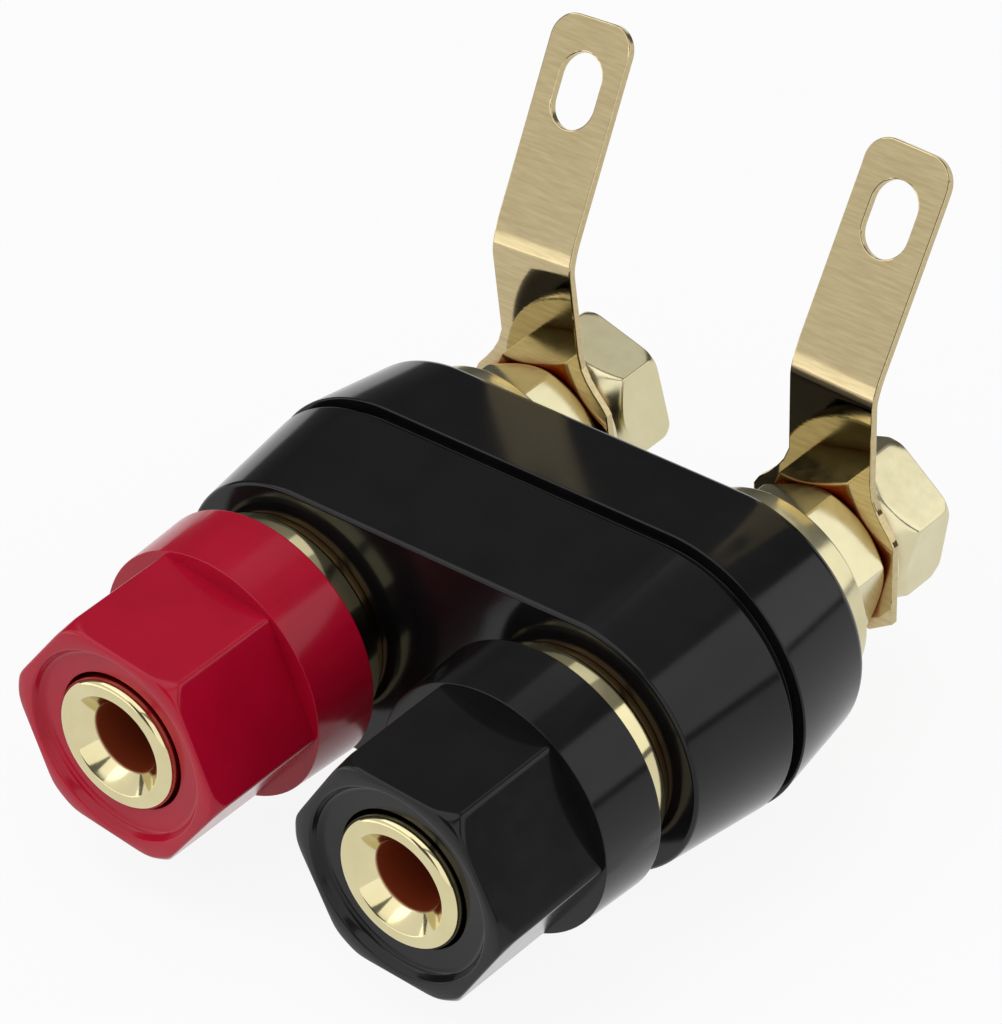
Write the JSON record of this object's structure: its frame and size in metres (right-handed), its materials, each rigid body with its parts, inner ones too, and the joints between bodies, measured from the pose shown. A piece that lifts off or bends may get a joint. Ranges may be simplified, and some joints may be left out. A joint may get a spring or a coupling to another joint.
{
  "type": "binding post",
  "caption": "Dual insulated binding post: red and black screw knobs with plug sockets in front of a two-part insulator, nuts and bent solder tags behind.",
  "frame": {"origin": "midway between the two post axes, on the plane where the front and rear insulators meet", "axes": "+Y along the posts from the knobs to the solder tags, +X from the red pole to the black pole, +Z the way the tags stand"},
  "size_m": [0.0362, 0.0426, 0.0309],
  "materials": {
    "red_plastic": "gloss, moulded",
    "black_plastic": "gloss, moulded",
    "gold_plate": "pale gold plate, polished",
    "thread_plate": "pale gold plate, threaded",
    "insert_brass": "bare brass, turned",
    "tag_plate": "brushed, plated sheet"
  },
  "bodies": {
    "base": {"front_insulator": "black_plastic", "rear_insulator": "black_plastic", "red_post": "thread_plate", "red_post_head": "gold_plate", "red_flat_washer": "gold_plate", "red_inner_nut": "gold_plate", "red_solder_tag": "tag_plate", "red_lock_washer": "gold_plate", "red_outer_nut": "gold_plate", "black_post": "thread_plate", "black_post_head": "gold_plate", "black_flat_washer": "gold_plate", "black_inner_nut": "gold_plate", "black_solder_tag": "tag_plate", "black_lock_washer": "gold_plate", "black_outer_nut": "gold_plate"},
    "red_clamp": {"red_clamp_ring": "gold_plate"},
    "red_knob": {"red_knob_shell": "red_plastic", "red_knob_insert": "insert_brass"},
    "black_clamp": {"black_clamp_ring": "gold_plate"},
    "black_knob": {"black_knob_shell": "black_plastic", "black_knob_insert": "insert_brass"}
  },
  "joints": [
    {"name": "red_knob_travel", "type": "slide", "parent": "base", "child": "red_clamp", "axis": [0, -1, 0], "range_m": [0, 0.004]},
    {"name": "red_knob_turn", "type": "hinge", "parent": "red_clamp", "child": "red_knob", "pos_m": [-0.0095, 0, 0], "axis": [0, -1, 0], "range_deg": [0, 1440]},
    {"name": "black_knob_travel", "type": "slide", "parent": "base", "child": "black_clamp", "axis": [0, -1, 0], "range_m": [0, 0.004]},
    {"name": "black_knob_turn", "type": "hinge", "parent": "black_clamp", "child": "black_knob", "pos_m": [0.0095, 0, 0], "axis": [0, -1, 0], "range_deg": [0, 1440]}
  ],
  "couplings": [
    {"joint": "red_knob_travel", "follows": "red_knob_turn", "m_per_rad": 0.000159},
    {"joint": "black_knob_travel", "follows": "black_knob_turn", "m_per_rad": 0.000159}
  ]
}
